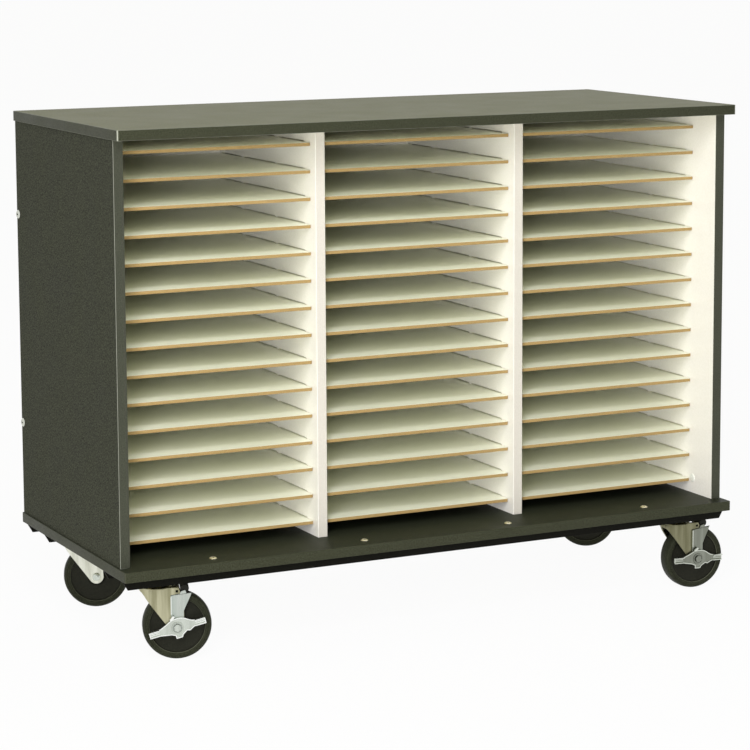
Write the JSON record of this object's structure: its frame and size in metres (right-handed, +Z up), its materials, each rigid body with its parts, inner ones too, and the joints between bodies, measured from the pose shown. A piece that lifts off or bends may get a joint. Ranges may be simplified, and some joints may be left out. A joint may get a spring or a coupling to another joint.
{
  "type": "music folio cart",
  "caption": "Rolling laminate cabinet with an open front, three columns of close-set fixed shelves for music folios, and swivel casters with brakes at the front.",
  "frame": {"origin": "on the floor, below the middle of the cabinet", "axes": "+X to the cart's right as seen from its open front, along its length; +Y from the open front to the back; +Z up"},
  "size_m": [1.3079, 0.5634, 0.9765],
  "materials": {
    "charcoal_laminate": "particle board under dark charcoal laminate with a fine speckle, satin",
    "charcoal_band": "charcoal edge band, satin, lighter along its rounded edges",
    "white_melamine": "warm white melamine board, satin",
    "shelf_board": "thin hardboard with warm white faces and raw tan edges",
    "yellow_zinc": "steel with yellow zinc plate",
    "white_plastic": "moulded white plastic",
    "black_steel": "black powder coat",
    "bright_zinc": "pressed steel with bright zinc plate",
    "hard_rubber": "moulded hard black rubber, satin"
  },
  "bodies": {
    "cabinet": {"top_panel": "charcoal_laminate", "base_panel": "charcoal_laminate", "left_side_panel": "charcoal_laminate", "right_side_panel": "charcoal_laminate", "top_edge_band": "charcoal_band", "base_edge_band": "charcoal_band", "left_divider": "white_melamine", "right_divider": "white_melamine", "back_panel": "white_melamine", "shelf_tier_01": "shelf_board", "shelf_tier_02": "shelf_board", "shelf_tier_03": "shelf_board", "shelf_tier_04": "shelf_board", "shelf_tier_05": "shelf_board", "shelf_tier_06": "shelf_board", "shelf_tier_07": "shelf_board", "shelf_tier_08": "shelf_board", "shelf_tier_09": "shelf_board", "shelf_tier_10": "shelf_board", "shelf_tier_11": "shelf_board", "shelf_tier_12": "shelf_board", "shelf_tier_13": "shelf_board", "shelf_tier_14": "shelf_board", "shelf_tier_15": "shelf_board", "left_lower_side_screw": "yellow_zinc", "left_upper_side_screw": "yellow_zinc", "right_lower_side_screw": "yellow_zinc", "right_upper_side_screw": "yellow_zinc", "rail_bolt_1": "yellow_zinc", "rail_bolt_2": "yellow_zinc", "rail_bolt_3": "yellow_zinc", "rail_bolt_4": "yellow_zinc", "left_cover_cap": "white_plastic", "right_cover_cap": "white_plastic", "front_rail": "black_steel", "rear_rail": "black_steel", "front_left_caster_plate": "bright_zinc", "front_right_caster_plate": "bright_zinc", "rear_left_caster_plate": "bright_zinc", "rear_right_caster_plate": "bright_zinc", "front_left_raceway": "bright_zinc", "front_right_raceway": "bright_zinc", "rear_left_raceway": "bright_zinc", "rear_right_raceway": "bright_zinc"},
    "front_left_swivel": {"front_left_fork": "bright_zinc", "front_left_axle": "bright_zinc", "front_left_brake_plate": "bright_zinc"},
    "front_left_roller": {"front_left_wheel": "hard_rubber"},
    "front_left_pedal": {"front_left_brake_pedal": "bright_zinc"},
    "front_right_swivel": {"front_right_fork": "bright_zinc", "front_right_axle": "bright_zinc", "front_right_brake_plate": "bright_zinc"},
    "front_right_roller": {"front_right_wheel": "hard_rubber"},
    "front_right_pedal": {"front_right_brake_pedal": "bright_zinc"},
    "rear_left_swivel": {"rear_left_fork": "bright_zinc", "rear_left_axle": "bright_zinc"},
    "rear_left_roller": {"rear_left_wheel": "hard_rubber"},
    "rear_right_swivel": {"rear_right_fork": "bright_zinc", "rear_right_axle": "bright_zinc"},
    "rear_right_roller": {"rear_right_wheel": "hard_rubber"}
  },
  "joints": [
    {"name": "front_left_swivel_turn", "type": "hinge", "parent": "cabinet", "child": "front_left_swivel", "pos_m": [-0.56, -0.2105, 0.1375], "axis": [0, 0, 1], "continuous": true},
    {"name": "front_left_wheel_roll", "type": "hinge", "parent": "front_left_swivel", "child": "front_left_roller", "pos_m": [-0.52418, -0.22318, 0.0635], "axis": [0.3338, 0.9426, 0], "continuous": true},
    {"name": "front_left_pedal_rock", "type": "hinge", "parent": "front_left_swivel", "child": "front_left_pedal", "pos_m": [-0.52418, -0.22318, 0.0635], "axis": [0.3338, 0.9426, 0], "range_deg": [0, 30]},
    {"name": "front_right_swivel_turn", "type": "hinge", "parent": "cabinet", "child": "front_right_swivel", "pos_m": [0.56, -0.2105, 0.1375], "axis": [0, 0, 1], "continuous": true},
    {"name": "front_right_wheel_roll", "type": "hinge", "parent": "front_right_swivel", "child": "front_right_roller", "pos_m": [0.59786, -0.21381, 0.0635], "axis": [0.0872, 0.9962, 0], "continuous": true},
    {"name": "front_right_pedal_rock", "type": "hinge", "parent": "front_right_swivel", "child": "front_right_pedal", "pos_m": [0.59786, -0.21381, 0.0635], "axis": [0.0872, 0.9962, 0], "range_deg": [-15, 15]},
    {"name": "rear_left_swivel_turn", "type": "hinge", "parent": "cabinet", "child": "rear_left_swivel", "pos_m": [-0.56, 0.2105, 0.1375], "axis": [0, 0, 1], "continuous": true},
    {"name": "rear_left_wheel_roll", "type": "hinge", "parent": "rear_left_swivel", "child": "rear_left_roller", "pos_m": [-0.52429, 0.1975, 0.0635], "axis": [0.342, 0.9397, 0], "continuous": true},
    {"name": "rear_right_swivel_turn", "type": "hinge", "parent": "cabinet", "child": "rear_right_swivel", "pos_m": [0.56, 0.2105, 0.1375], "axis": [0, 0, 1], "continuous": true},
    {"name": "rear_right_wheel_roll", "type": "hinge", "parent": "rear_right_swivel", "child": "rear_right_roller", "pos_m": [0.59291, 0.1915, 0.0635], "axis": [0.5, 0.866, 0], "continuous": true}
  ]
}
